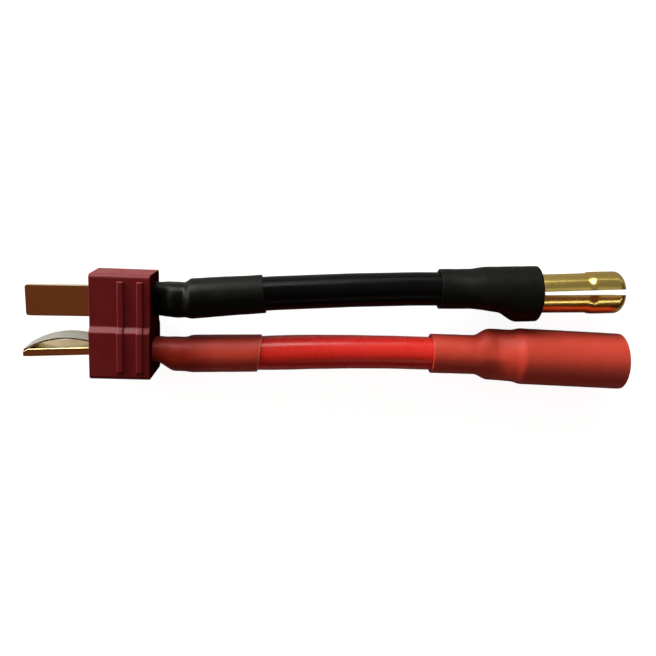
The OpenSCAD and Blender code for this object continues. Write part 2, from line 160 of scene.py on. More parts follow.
def cutOut(piece, cutter):
    applyModifier(piece, "BOOLEAN", operation="DIFFERENCE", object=cutter, solver="EXACT")
    bpy.data.objects.remove(cutter, do_unlink=True)
    dropSlivers(piece, tiny / 2)


def softenEdges(piece, radius, fromAngle):
    applyModifier(piece, "BEVEL", width=radius, segments=2, limit_method="ANGLE",
                  angle_limit=math.radians(fromAngle), miter_outer="MITER_ARC")
    dropSlivers(piece, tiny / 2)


def shadeSmooth(piece, upTo):
    selectOnly(piece)
    bpy.ops.object.shade_smooth_by_angle(angle=math.radians(upTo))
    applyModifier(piece, "WEIGHTED_NORMAL", keep_sharp=True, weight=80)


def placeOn(piece, node, finish):
    piece.data.materials.clear()
    piece.data.materials.append(finish)
    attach(piece, "root")
    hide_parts(node)


def linear(hexText):
    out = []
    for i in (1, 3, 5):
        c = int(hexText[i:i + 2], 16) / 255
        out.append(c / 12.92 if c <= 0.04045 else ((c + 0.055) / 1.055) ** 2.4)
    return (*out, 1)


def perMm(size):
    return 1 / (size * mm)  # texture scale for a feature of that many millimetres


def linkInto(tree, node, **sources):
    for key, source in sources.items():
        tree.links.new(source, node.inputs[key.replace("_", " ")])


def addNode(tree, kind, sets=None, **sources):
    node = tree.nodes.new(kind)
    for key, value in (sets or {}).items():
        if key in node.inputs:
            node.inputs[key].default_value = value
        else:
            setattr(node, key, value)
    linkInto(tree, node, **sources)
    return node


def newFinish(name, **sets):
    finish = bpy.data.materials.new(name)
    finish.use_nodes = True
    shader = finish.node_tree.nodes["Principled BSDF"]
    for key, value in sets.items():
        shader.inputs[key.replace("_", " ")].default_value = value
    return finish, finish.node_tree, shader


noiseSpan = {"From Min": 0.3, "From Max": 0.7}  # most of a noise lies between these


# camera

camView = {
    "place": (26.27, 23.2, 106.88),  # mm from the middle of the plug's mating face
    "target": (34.03, -0.47, -0.11),
    "roll": -0.029,  # radians
    "lens": 40.32, "sensor": 36,
    "near": 5, "far": 20000,
}


def placeCamera(spec):
    data = bpy.data.cameras.new("camera")
    data.sensor_width = spec["sensor"]
    data.lens = spec["lens"]
    data.clip_start = spec["near"] * mm
    data.clip_end = spec["far"] * mm
    camera = bpy.data.objects.new("camera", data)
    scene.collection.objects.link(camera)
    place, target = Vector(spec["place"]) * mm, Vector(spec["target"]) * mm
    ahead = (target - place).normalized()
    side = ahead.cross(Vector((math.sin(spec["roll"]), math.cos(spec["roll"]), 0))).normalized()
    turn = Matrix((side, side.cross(ahead), -ahead)).transposed()
    camera.matrix_world = Matrix.Translation(place) @ turn.to_4x4()
    scene.camera = camera


placeCamera(camView)
print("camera placed")


# wires

wireSpec = {
    "across": 5, "turnSides": 20, "steps": 6,
    "swell": {"black": 0, "red": 0.05},  # as a share of its thickness
    "swellOver": (22.5, 27, 42),  # mm along, from just behind the plug's sleeve
}

# middle lines of the two wires from the plug to the bullets, in metres
routes = {
    "black": [
        (0.0142, 0.0039, 0.0012), (0.0165, 0.0041, 0.00115), (0.0195, 0.00435, 0.0011),
        (0.0225, 0.00455, 0.001), (0.0255, 0.0048, 0.0009), (0.0285, 0.00495, 0.00075),
        (0.0315, 0.0051, 0.0006), (0.0345, 0.00525, 0.0005), (0.0375, 0.0054, 0.0004),
        (0.0405, 0.0055, 0.0003), (0.0435, 0.0056, 0.0002), (0.0465, 0.0057, 0.0001),
        (0.0495, 0.00575, 0.00005), (0.0525, 0.0058, 0), (0.055, 0.00585, -0.0001),
        (0.057, 0.00585, -0.0001),
    ],
    "red": [
        (0.0142, -0.0046, 0), (0.0165, -0.00455, 0), (0.0195, -0.0045, 0),
        (0.0225, -0.00445, 0), (0.0255, -0.00435, 0), (0.0285, -0.00425, 0),
        (0.0315, -0.00415, 0), (0.0345, -0.0041, 0), (0.0375, -0.00405, 0),
        (0.0405, -0.00405, 0), (0.0435, -0.00405, 0), (0.0465, -0.0041, 0),
        (0.0495, -0.00415, 0), (0.0525, -0.0042, 0), (0.055, -0.00425, 0),
        (0.057, -0.0043, 0),
    ],
}


def siliconeFinish(name, light, deep, glow, shine):
    # extruded silicone rubber: a wet-looking gloss, broken by finger smears and a faint lengthwise pull
    finish, tree, shader = newFinish(name, IOR=1.41, Subsurface_Weight=glow, Subsurface_Scale=mm,
                                     Specular_IOR_Level=shine)
    place = addNode(tree, "ShaderNodeTexCoord")
    stretch = addNode(tree, "ShaderNodeMapping", {"Scale": (0.12, 1, 1)}, Vector=place.outputs["Object"])
    pull = addNode(tree, "ShaderNodeTexNoise", {"Scale": perMm(0.6), "Detail": 3},
                   Vector=stretch.outputs["Vector"])
    smear = addNode(tree, "ShaderNodeTexNoise", {"Scale": perMm(6), "Detail": 4},
                    Vector=place.outputs["Object"])
    tone = addNode(tree, "ShaderNodeMixRGB", {"Color1": linear(deep), "Color2": linear(light)},
                   Fac=smear.outputs["Fac"])
    gloss = addNode(tree, "ShaderNodeMapRange", {**noiseSpan, "To Min": 0.24, "To Max": 0.36},
                    Value=smear.outputs["Fac"])
    bump = addNode(tree, "ShaderNodeBump", {"Strength": 0.12, "Distance": 0.02 * mm},
                   Height=pull.outputs["Fac"])
    linkInto(tree, shader, Base_Color=tone.outputs["Color"], Roughness=gloss.outputs["Result"],
             Normal=bump.outputs["Normal"])
    return finish


def makeWire(colour, route, spec):
    line = bpy.data.curves.new(colour + "Wire", "CURVE")
    line.dimensions = "3D"
    line.bevel_depth = spec["across"] / 2 * mm
    line.bevel_resolution = spec["turnSides"]
    line.resolution_u = spec["steps"]
    line.use_fill_caps = True
    spline = line.splines.new("BEZIER")
    spline.bezier_points.add(len(route) - 1)
    start, full, stop = spec["swellOver"]
    for knot, point in zip(spline.bezier_points, route):
        knot.co = point
        knot.handle_left_type = knot.handle_right_type = "AUTO"
        x = point[0] / mm
        fat = min((x - start) / (full - start), (stop - x) / (stop - full))
        knot.radius = 1 + spec["swell"][colour] * min(1, max(0, fat))
    wire = bpy.data.objects.new(colour + "Wire", line)
    scene.collection.objects.link(wire)
    return wire


wireFinishes = {
    "black": siliconeFinish("blackSilicone", "#080807", "#050505", 0, 0.1),
    "red": siliconeFinish("redSilicone", "#d82d24", "#cc271e", 0.6, 0.4),
}
wires = {colour: makeWire(colour, route, wireSpec) for colour, route in routes.items()}
for colour, wire in wires.items():
    placeOn(wire, colour + "_insulation", wireFinishes[colour])
print("wires laid")


# plug housing

housingSpec = {
    "drop": 0.65,  # the stem half is set in this far on both faces
    "ramp": (-0.8, 0),  # across the width
    "longEdge": 0.6, "mouldEdge": 0.12,  # rounding of the long sides, and of all other edges
    "ribs": 2, "ribWide": 1, "ribHigh": 0.3, "ribPitch": 2.7, "ribInset": 0.9, "ribMargin": 0.95,
    "ribRound": 0.24,
    "room": 0.05,  # round the contacts
    "wider": 0.15,  # past the cross blade
    "heel": 2.3,  # degrees by which the rear face leans out towards its foot
    "askew": 0.9,  # degrees by which it is turned on its wires
}
bladeSpec = {
    "thick": 1.2, "wide": 4.5, "stemY": 3.15, "crossY": -3.9, "seat": 6.5,
    "tabWide": 2.6, "tipCut": 0.35,
    "bevel": 0.9, "springSide": 0.45, "plainSide": 0.15,  # length of the tip's bevel, and its two depths
    "edge": 0.07,
    "lean": 2.2, "further": 0.3, "tilt": 3.8,  # the cross blade stands a little askew, in degrees and mm
    "worn": {1: 0.3, -1: 0.09},  # its long edges, on the plain side and the spring's
}
springSpec = {
    "wide": 3.7, "thick": 0.25, "rise": 1.25, "reach": 1.4, "foot": 1.2, "toe": 0.8, "edge": 0.04,
    "bowSteps": 32,
}
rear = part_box("plug_housing")[1].x / mm  # the housing's rear face


def nylonFinish(name, light, deep, shine):
    # moulded nylon: deep red, satin, with a fine moulding grain and slightly uneven pigment
    finish, tree, shader = newFinish(name, IOR=1.53, Specular_IOR_Level=shine)
    place = addNode(tree, "ShaderNodeTexCoord")
    cloud = addNode(tree, "ShaderNodeTexNoise", {"Scale": perMm(2.5), "Detail": 5},
                    Vector=place.outputs["Object"])
    grain = addNode(tree, "ShaderNodeTexNoise", {"Scale": perMm(0.18), "Detail": 2},
                    Vector=place.outputs["Object"])
    tone = addNode(tree, "ShaderNodeMixRGB", {"Color1": linear(deep), "Color2": linear(light)},
                   Fac=cloud.outputs["Fac"])
    gloss = addNode(tree, "ShaderNodeMapRange", {**noiseSpan, "To Min": 0.4, "To Max": 0.52},
                    Value=cloud.outputs["Fac"])
    bump = addNode(tree, "ShaderNodeBump", {"Strength": 0.1, "Distance": 0.02 * mm},
                   Height=grain.outputs["Fac"])
    linkInto(tree, shader, Base_Color=tone.outputs["Color"], Roughness=gloss.outputs["Result"],
             Normal=bump.outputs["Normal"])
    return finish


def contactWay(turned):
    # cutters for one contact: blade, tab and the room for the bowed spring
    b, s, room = bladeSpec, springSpec, housingSpec["room"]
    half = b["thick"] / 2 + room
    tabHalf = half - room / 5  # off the blade's own walls, so that no cut faces meet
    deep = b["thick"] / 2 + s["rise"] + s["thick"] + room
    sizes = [
        ((-past, -b["wide"] / 2 - room, -half), (b["seat"], b["wide"] / 2 + room, half)),
        ((past, -b["tabWide"] / 2 - room, -tabHalf), (rear + past, b["tabWide"] / 2 + room, tabHalf)),
        ((-past, -s["wide"] / 2 - room, -deep), (s["reach"] + s["foot"] + room, s["wide"] / 2 + room, 0)),
    ]
    cutters = []
    for low, high in sizes:
        cutter = addBox("cutter", Vector(low) * mm, Vector(high) * mm)
        turnToBlade(cutter, turned)
        cutters.append(cutter)
    return cutters


def turnToBlade(piece, turned):
    # drawn flat round the X axis, then set at the stem, or turned on edge at the cross blade
    b = bladeSpec
    tilt = math.radians(b["tilt"])  # about the blade's upper edge
    piece.rotation_euler.x = math.pi / 2 + tilt if turned else 0
    piece.location.y = (b["crossY"] + b["wide"] / 2 * math.sin(tilt) if turned else b["stemY"]) * mm
    bakePlace(piece)


def leanTip(piece, spec):
    startEdit(piece)
    cutAcross((0, 0, 0), (1, 0, 0))
    pick("VERT", lambda v: v.co.x < -tiny)
    bpy.ops.transform.translate(value=(-spec["further"] * mm, 0, 0))
    bpy.ops.transform.rotate(value=-math.radians(spec["lean"]), orient_axis="Z",
                             center_override=(0, spec["crossY"] * mm, 0))
    endEdit()


def makeHousing(spec):
    low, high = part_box("plug_housing")
    rib = spec["ribHigh"] * mm
    thick, side = high.z - rib, high.y
    thin = thick - spec["drop"] * mm
    body = addBox("housing", (low.x, low.y, -thick), (high.x, high.y, thick))
    startEdit(body)
    for y in spec["ramp"]:
        cutAcross((0, y * mm, 0), (0, 1, 0))
    pick("VERT", lambda v: v.co.y > spec["ramp"][1] * mm - tiny)
    bpy.ops.transform.resize(value=(1, 1, thin / thick), center_override=(0, 0, 0))
    pick("EDGE", lambda e: all(abs(abs(v.co.y) - side) < tiny for v in e.verts)
         and abs(e.verts[0].co.x - e.verts[1].co.x) > mm)
    bpy.ops.mesh.bevel(offset=spec["longEdge"] * mm, segments=6, affect="EDGES")
    pick("EDGE", lambda e: e.calc_face_angle(0) > math.radians(30))
    bpy.ops.mesh.bevel(offset=spec["mouldEdge"] * mm, segments=3, affect="EDGES")
    ribEnd = side - spec["ribMargin"] * mm
    ribBacks = [high.x - (spec["ribInset"] + i * spec["ribPitch"]) * mm for i in range(spec["ribs"])]
    for back in ribBacks:
        cutAcross((back, 0, 0), (1, 0, 0))
        cutAcross((back - spec["ribWide"] * mm, 0, 0), (1, 0, 0))
    for y in (-ribEnd, ribEnd):
        cutAcross((0, y, 0), (0, 1, 0))

    def onRib(face, up):
        mid = face.calc_center_median()
        near = any(back - spec["ribWide"] * mm < mid.x < back for back in ribBacks)
        return near and abs(mid.y) < ribEnd and face.normal.z * up > 0.5

    for up in (1, -1):
        pick("FACE", lambda f: onRib(f, up))
        bpy.ops.mesh.extrude_region_move(TRANSFORM_OT_translate={"value": (0, 0, rib * up)})
    for up in (1, -1):
        pick("FACE", lambda f: onRib(f, up))
        bpy.ops.mesh.region_to_loop()
        bpy.ops.mesh.bevel(offset=spec["ribRound"] * mm, segments=4, affect="EDGES")
    bpy.ops.mesh.select_all(action="SELECT")
    bpy.ops.mesh.remove_doubles(threshold=tiny / 10)
    joinFlatFaces()
    endEdit()
    for turned in (False, True):
        for cutter in contactWay(turned):
            cutOut(body, cutter)
    startEdit(body)
    pick("VERT", lambda v: v.co.y < -ribEnd - tiny)
    bpy.ops.transform.translate(value=(0, -spec["wider"] * mm, 0))
    pick("VERT", lambda v: v.co.x > high.x - spec["mouldEdge"] * mm - tiny)
    bpy.ops.transform.rotate(value=math.radians(spec["heel"]), orient_axis="Y",
                             center_override=(high.x, 0, thick))
    bpy.ops.mesh.select_all(action="SELECT")
    bpy.ops.transform.rotate(value=math.radians(spec["askew"]), orient_axis="Z",
                             center_override=(high.x / 2, high.y, 0))
    endEdit()
    shadeSmooth(body, upTo=40)
    return body


housing = makeHousing(housingSpec)
mouldedNylon = nylonFinish("mouldedNylon", "#6b1516", "#5f1213", 0.22)
scorchedNylon = nylonFinish("scorchedNylon", "#450c0c", "#3b0a0a", 0)
placeOn(housing, "plug_housing", mouldedNylon)
housing.data.materials.append(scorchedNylon)
# the rear face is left dull, with no specular, and its darker colour is painted shade
for face in housing.data.polygons:
    if face.normal.x > 0.9 and face.center.x > (rear - 1) * mm:
        face.material_index = 1
print("housing moulded")


# blades and their springs

def goldFinish(name, light, deep, along, across):
    # thin gold over brass: warm and bright, with the fine marks of its stamping or turning,
    # which are along and across mm in size
    finish, tree, shader = newFinish(name, Metallic=1)
    place = addNode(tree, "ShaderNodeTexCoord")
    marks = addNode(tree, "ShaderNodeMapping", {"Scale": (1 / along, 1 / across, 1 / across)},
                    Vector=place.outputs["Object"])
    lines = addNode(tree, "ShaderNodeTexNoise", {"Scale": perMm(1), "Detail": 3},
                    Vector=marks.outputs["Vector"])
    cloud = addNode(tree, "ShaderNodeTexNoise", {"Scale": perMm(3), "Detail": 4},
                    Vector=place.outputs["Object"])
    tone = addNode(tree, "ShaderNodeMixRGB", {"Color1": linear(deep), "Color2": linear(light)},
                   Fac=cloud.outputs["Fac"])
    gloss = addNode(tree, "ShaderNodeMapRange", {**noiseSpan, "To Min": 0.14, "To Max": 0.24},
                    Value=lines.outputs["Fac"])
    bump = addNode(tree, "ShaderNodeBump", {"Strength": 0.06, "Distance": 0.01 * mm},
                   Height=lines.outputs["Fac"])
    linkInto(tree, shader, Base_Color=tone.outputs["Color"], Roughness=gloss.outputs["Result"],
             Normal=bump.outputs["Normal"])
    return finish


def springFinish():
    # plated spring strip: pale, bright, drawn lengthwise
    finish, tree, shader = newFinish("springStrip", Metallic=1)
    place = addNode(tree, "ShaderNodeTexCoord")
    drawn = addNode(tree, "ShaderNodeMapping", {"Scale": (0.08, 1, 1)}, Vector=place.outputs["Object"])
    lines = addNode(tree, "ShaderNodeTexNoise", {"Scale": perMm(0.25), "Detail": 3},
                    Vector=drawn.outputs["Vector"])
    tone = addNode(tree, "ShaderNodeMixRGB", {"Color1": linear("#babab0"), "Color2": linear("#cccdc4")},
                   Fac=lines.outputs["Fac"])
    gloss = addNode(tree, "ShaderNodeMapRange", {"To Min": 0.2, "To Max": 0.34},
                    Value=lines.outputs["Fac"])
    linkInto(tree, shader, Base_Color=tone.outputs["Color"], Roughness=gloss.outputs["Result"])
    return finish


def makeBlade(name, spec, node, turned):
    low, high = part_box(node)
    wide, half = spec["wide"] / 2 * mm, spec["thick"] / 2 * mm
    blade = addBox(name, (low.x, -wide, -half), (spec["seat"] * mm, wide, half))
    startEdit(blade)
    cutAcross((low.x + spec["bevel"] * mm, 0, 0), (1, 0, 0))
    for up, depth in ((1, spec["plainSide"]), (-1, spec["springSide"])):
        pick("VERT", lambda v: v.co.x < low.x + tiny and v.co.z * up > 0)
        bpy.ops.transform.translate(value=(0, 0, -up * depth * mm))
    pick("EDGE", lambda e: all(v.co.x < low.x + tiny for v in e.verts)
         and abs(e.verts[0].co.y - e.verts[1].co.y) < tiny)
    bpy.ops.mesh.bevel(offset=spec["tipCut"] * mm, segments=3, affect="EDGES")
    for y in (-spec["tabWide"] / 2, spec["tabWide"] / 2):
        cutAcross((0, y * mm, 0), (0, 1, 0))
    pick("FACE", lambda f: f.normal.x > 0.9 and abs(f.calc_center_median().y) < spec["tabWide"] / 2 * mm)
    bpy.ops.mesh.extrude_region_move(TRANSFORM_OT_translate={"value": (high.x - spec["seat"] * mm, 0, 0)})
    joinFlatFaces()
    for up, worn in (spec["worn"].items() if turned else ()):
        pick("EDGE", lambda e: all(abs(abs(v.co.y) - wide) < tiny and v.co.z * up > 0 for v in e.verts))
        bpy.ops.mesh.bevel(offset=worn * mm, segments=3, affect="EDGES")
    endEdit()
    softenEdges(blade, spec["edge"] * mm, fromAngle=35)
    dropSlivers(blade, 0.4 * spec["edge"] * mm)  # where the softened corners of the tip run together
    turnToBlade(blade, turned)
    if turned:
        leanTip(blade, bladeSpec)
    shadeSmooth(blade, upTo=35)
    return blade


def makeSpring(name, spec, turned):
    # the foot is a plane, its front edge is spun round the bow, and the toe follows the blade's bevel
    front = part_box("stem_blade")[0].x / mm
    bevelX = front + bladeSpec["bevel"]
    span = spec["reach"] - bevelX
    bowR = ((span / 2) ** 2 + spec["rise"] ** 2) / (2 * spec["rise"])
    face = -bladeSpec["thick"] / 2
    clearSelection()
    footMid = spec["reach"] + spec["foot"] / 2
    bpy.ops.mesh.primitive_plane_add(size=1, location=(footMid * mm, 0, face * mm))
    strip = bpy.context.object
    strip.name = name
    strip.scale = (spec["foot"] * mm, spec["wide"] * mm, 1)
    bakePlace(strip)
    startEdit(strip)
    pick("EDGE", lambda e: all(v.co.x < spec["reach"] * mm + tiny for v in e.verts))
    bowTurn = 2 * math.asin(span / 2 / bowR)
    centre = Vector((bevelX + span / 2, 0, face + bowR - spec["rise"])) * mm
    bpy.ops.mesh.spin(steps=spec["bowSteps"], angle=-bowTurn, center=centre, axis=(0, 1, 0))
    slope = math.atan2(bladeSpec["springSide"], bladeSpec["bevel"])
    pick("EDGE", lambda e: e.is_boundary and all(v.co.x < bevelX * mm + 20 * tiny for v in e.verts))
    toe = Vector((-math.cos(slope), 0, math.sin(slope))) * spec["toe"] * mm
    bpy.ops.mesh.extrude_region_move(TRANSFORM_OT_translate={"value": toe})
    closeSeams(tiny / 10)
    endEdit()
    if strip.data.polygons[0].normal.z < 0:
        strip.data.flip_normals()
    applyModifier(strip, "SOLIDIFY", thickness=spec["thick"] * mm, offset=-1, use_even_offset=True)
    softenEdges(strip, spec["edge"] * mm, fromAngle=50)
    turnToBlade(strip, turned)
    if turned:
        leanTip(strip, bladeSpec)
    shadeSmooth(strip, upTo=35)
    return strip


bladeGold = goldFinish("stampedGold", "#f0dca8", "#e6cf94", 1.6, 0.12)
springSteel = springFinish()
for name, turned in (("stem", False), ("cross", True)):
    blade = makeBlade(name + "Blade", bladeSpec, name + "_blade", turned)
    placeOn(blade, name + "_blade", bladeGold)
    spring = makeSpring(name + "Spring", springSpec, turned)
    placeOn(spring, name + "_spring", springSteel)
print("blades and springs stamped")


# bullets

pinSpec = {
    "cupR": 3.7, "cupLen": 7.8, "cupWall": 0.65, "cupFloor": 1, "cupSoft": 0.15,
    "scoop": 3.6, "slant": 1.8,
    "rootR": 2.9, "neckR": 3, "rootLen": 7.4, "bandR": 3.2, "len": 13.1, "nose": 1.3,
    "ramp": 0.9, "rampSoft": 0.3, "rampFoot": 0.02, "rampTop": 0.04,  # up to the band, eased at both ends
    "boreR": 1.3, "slotFrom": 0.5, "slotRoot": 0.55, "slotTip": 0.82, "slotTurn": -9.4,
    "edge": 0.07,
}
socketSpec = {
    "cupR": 3.5, "cupLen": 5.3, "cupWall": 0.65, "cupFloor": 1, "scoop": 2.2, "slant": 1.8,
    "outR": 3.8, "boreR": 3, "bore": 12.5, "len": 19.9, "chamfer": 0.4, "mouthSoft": 0.1,
}


def drawOutline(name, points, closed):
    # a ring of points moved onto the outline, as (along, radius) in mm
    clearSelection()
    bpy.ops.mesh.primitive_circle_add(vertices=len(points), radius=mm, fill_type="NOTHING")
    outline = bpy.context.object
    outline.name = name
    for v, (along, radius) in zip(outline.data.vertices, points):
        v.co = (along * mm, radius * mm, 0)
    startEdit(outline)
    if not closed:
        last = len(points) - 1
        pick("EDGE", lambda e: {v.index for v in e.verts} == {0, last})
        bpy.ops.mesh.delete(type="EDGE")
    bpy.ops.mesh.select_all(action="SELECT")
    return outline


def turnOnLathe(name, points):
    turned = drawOutline(name, points, closed=False)
    bpy.ops.mesh.spin(steps=96, angle=2 * math.pi, center=(0, 0, 0), axis=(1, 0, 0))
    closeSeams(tiny / 2)
    endEdit()
    return turned


def roundCorner(along, radius, r, steps):
    # an outer corner that ends at this place and radius, from its side to its face
    out = []
    for i in range(steps + 1):
        turn = math.radians(90 - 90 * i / steps)
        out.append((along - r + r * math.cos(turn), radius - r + r * math.sin(turn)))
    return out


def scoopCutter(spec, side):
    # the open back of a solder cup: half of it, then a slant out to the rim
    r = spec["cupR"] + past
    cutter = addBox("cutter", Vector((-past, -r, -r)) * mm, Vector((spec["scoop"], 0, r)) * mm)
    startEdit(cutter)
    pick("VERT", lambda v: v.co.x > 0 and v.co.y < 0)
    bpy.ops.transform.translate(value=(spec["slant"] * mm, 0, 0))
    endEdit()
    cutter.rotation_euler.x = side
    bakePlace(cutter)
    return cutter


def bandMiddle(spec):
    # the pin's mount, in mm along the pin from its cup's rim
    band = spec["cupLen"] + spec["rootLen"] + spec["ramp"]
    return (band + spec["cupLen"] + spec["len"] - spec["nose"]) / 2


def boreMiddle(spec):
    # the socket's mount, in mm along the socket from its cup's rim
    return (2 * spec["len"] - spec["bore"] - spec["chamfer"]) / 2


def setOnAxis(piece, mount, along):
    # moves a bullet drawn along X onto its mount's axis; along is the mount's own place on the bullet
    axis = Vector(mount["axis"])
    piece.location = Vector(mount["pos_m"]) - axis * along * mm
    piece.rotation_euler.z = math.atan2(axis.y, axis.x)
    bakePlace(piece)


def makeLeaf(spec):
    root = spec["cupLen"] + spec["slotFrom"]
    tip = spec["cupLen"] + spec["len"]
    rampX = spec["cupLen"] + spec["rootLen"]
    bandX = rampX + spec["ramp"]
    soft = spec["rampSoft"]
    outline = [(root, spec["boreR"]), (root, spec["rootR"]), (rampX - soft, spec["neckR"]),
               (rampX + soft, spec["neckR"] + spec["rampFoot"]),
               (bandX - soft, spec["bandR"] - spec["rampTop"]), (bandX + soft, spec["bandR"])]
    outline += roundCorner(tip, spec["bandR"], spec["nose"], steps=10)
    outline += [(tip, spec["boreR"])]
    leaf = drawOutline("leaf", outline, closed=True)
    bpy.ops.mesh.spin(steps=28, angle=math.pi / 2, center=(0, 0, 0), axis=(1, 0, 0))
    live = bmesh.from_edit_mesh(leaf.data)
    for v in live.verts:  # the two sawn faces are flat and open towards the tip
        r = math.hypot(v.co.y, v.co.z)
        share = math.atan2(abs(v.co.z), abs(v.co.y)) / (math.pi / 2)
        along = (v.co.x / mm - root) / (tip - root)
        half = (spec["slotRoot"] + (spec["slotTip"] - spec["slotRoot"]) * along) / 2 * mm
        spare = math.asin(half / r)
        turn = spare + share * (math.pi / 2 - 2 * spare)
        v.co.y, v.co.z = r * math.cos(turn), r * math.sin(turn)
    bmesh.update_edit_mesh(leaf.data)
    for low in (True, False):
        pick("EDGE", lambda e: e.is_boundary and all((v.co.z < v.co.y) == low for v in e.verts))
        bpy.ops.mesh.edge_face_add()
    bpy.ops.mesh.select_all(action="SELECT")
    bpy.ops.mesh.normals_make_consistent(inside=False)
    endEdit()
    softenEdges(leaf, spec["edge"] * mm, fromAngle=40)
    return leaf


def makePin(spec):
    inR, floor = spec["cupR"] - spec["cupWall"], spec["cupLen"] - spec["cupFloor"]
    root = spec["cupLen"] + spec["slotFrom"]
    outline = [(floor, 0), (floor, inR), (0, inR), (0, spec["cupR"])]
    outline += roundCorner(spec["cupLen"], spec["cupR"], spec["cupSoft"], steps=3)
    outline += [(spec["cupLen"], spec["rootR"]), (root, spec["rootR"]), (root, 0)]
    pin = turnOnLathe("bulletPin", outline)
    cutOut(pin, scoopCutter(spec, 0))
    leaves = [makeLeaf(spec)]
    while len(leaves) < 4:
        leaves.append(twinOf(leaves[0]))
    for i, leaf in enumerate(leaves):
        leaf.rotation_euler.x = math.radians(spec["slotTurn"] + 90 * i)
        bakePlace(leaf)
    selectOnly(pin)
    for leaf in leaves:
        leaf.select_set(True)
    bpy.ops.object.join()
    setOnAxis(pin, mounts["pin_contact"], bandMiddle(spec))
    shadeSmooth(pin, upTo=35)
    return pin


def makeSocket(spec):
    inR, floor = spec["cupR"] - spec["cupWall"], spec["cupLen"] - spec["cupFloor"]
    step = spec["outR"] - spec["cupR"]
    bottom = spec["len"] - spec["bore"]
    mouthR = spec["boreR"] + spec["chamfer"]
    outline = [(floor, 0), (floor, inR), (0, inR), (0, spec["cupR"]), (spec["cupLen"], spec["cupR"]),
               (spec["cupLen"] + step, spec["outR"])]
    outline += roundCorner(spec["len"], spec["outR"], spec["mouthSoft"], steps=3)
    outline += [(spec["len"], mouthR), (spec["len"] - spec["chamfer"], spec["boreR"]),
                (bottom, spec["boreR"]), (bottom, 0)]
    socket = turnOnLathe("bulletSocket", outline)
    cutOut(socket, scoopCutter(spec, -math.pi / 2))
    setOnAxis(socket, mounts["socket_bore"], boreMiddle(spec))
    shadeSmooth(socket, upTo=30)
    return socket


turnedGold = goldFinish("turnedGold", "#f2d579", "#e8c967", 0.1, 4)
pin = makePin(pinSpec)
socket = makeSocket(socketSpec)
placeOn(pin, "bullet_pin", turnedGold)
placeOn(socket, "bullet_socket", turnedGold)
print("bullets turned")


# shrunk sleeves

sleeveSpec = {
    "gap": 0.06, "sides": 48, "rim": 0.07,
    "waves": ((1.9, 3, 1), (3.1, -2, 2)),  # crinkles: per mm along, round the tube, and of the seed
    "tight": (15.5, 18.5), "scorch": (14.2, 17.5),  # mm along the cable: where it is stretched tight and glossier, and where painted shade darkens it towards the plug
}
plugSleeveSpec = {
    "wall": 0.25, "ringSteps": (0.3, 0.25, 0.7),  # on the tab, at the shoulder and on the wire
    "finePast": 1.5,  # the shoulder's rings go this far past the joint
    "from": {"black": 0.02, "red": -0.12}, "len": {"black": 16, "red": 15.4},  # behind the housing
    "swell": {"black": 0.13, "red": 0},  # spare room at the shoulder, where a sleeve shrank least
    "crinkle": {"black": 0.05, "red": 0.03}, "seed": {"black": 4, "red": 1},
    "calm": 0.012, "calmFrom": 2, "calmPast": 1,  # what the crinkles die down to past the tab
    "skew": {"black": -0.12, "red": 0.11}, "skewOver": 4,  # slant of the cut end, per mm across
    "cut": 0.12,  # width of a painted highlight along that end's edge
}
jointSpec = {  # the soldered tab inside a plug sleeve
    "tabLen": 4.3, "bare": 1.4, "step": 0.1,
    "side": {"black": 0.86, "red": 1}, "back": 0.8, "over": 0.55, "flat": 1.8, "flatFrom": 2.2,
    "lean": 0.65, "square": 2.5, "hump": 0.12,
}
bulletSleeveSpec = {
    "wall": 0.43, "ringSteps": (0.7, 0.25, 0.7),  # on the wire, over the cup and past it
    "fineFrom": -3, "finePast": 0.3,
    "lap": {"black": 6.6, "red": 7.3},  # on the wire
    "lip": 0.45,  # past the socket's mouth
    "widen": 1.5, "wideBefore": 0.6,  # up to the body, over this and this far before the cup ends
    "closedRise": (-2.7, -0.1),  # on the closed side of the cup, in mm from its rim
    "redRise": 0.2, "redPast": 0.4, "tent": 0.4,  # over the red scoop
    "sag": 0.3, "sagFrom": 5.6, "hitch": (1.6, 1.3), "topRise": (-6, 0),  # over the black scoop
    "crinkle": 0.015, "seed": {"black": 5, "red": 2},
}


def ease(t):
    t = min(1, max(0, t))
    return t * t * (3 - 2 * t)


def mix(a, b, share):
    return a + (b - a) * share


def blend(a, b, start, stop, x):
    return mix(a, b, ease((x - start) / (stop - start)))


def wireAt(route, x):
    # y and z of a wire in mm, at x mm
    points = [Vector(p) / mm for p in route]
    for a, b in zip(points, points[1:]):
        if x <= b.x or b is points[-1]:
            share = min(1, max(0, (x - a.x) / (b.x - a.x)))
            return mix(a.y, b.y, share), mix(a.z, b.z, share)


def ringOf(x, mid, low, high, square=2, tent=0):
    # one cross-section of quarter ellipses between its widest lines; square makes it boxier,
    # and tent draws it flat on top
    ring = []
    for i in range(sleeveSpec["sides"] + 1):
        turn = 2 * math.pi * i / sleeveSpec["sides"]
        point = []
        for k, t in enumerate((math.cos(turn), math.sin(turn))):
            share = math.copysign(abs(t) ** (2 / (square - (tent if turn < math.pi else 0))), t)
            point.append(mid[k] + share * (high[k] - mid[k] if t > 0 else mid[k] - low[k]))
        ring.append((x, *point))
    return ring


def ripple(x, i, seed):
    turn = 2 * math.pi * i / sleeveSpec["sides"]
    waves = [math.sin(along * x + around * turn + share * seed)
             for along, around, share in sleeveSpec["waves"]]
    return sum(waves) / len(waves)


def crinkle(ring, mid, amount, seed):
    out = []
    for i, (x, y, z) in enumerate(ring):
        away = Vector((y - mid[0], z - mid[1])).normalized() * amount * ripple(x, i, seed)
        out.append((x, y + away.x, z + away.y))
    return out


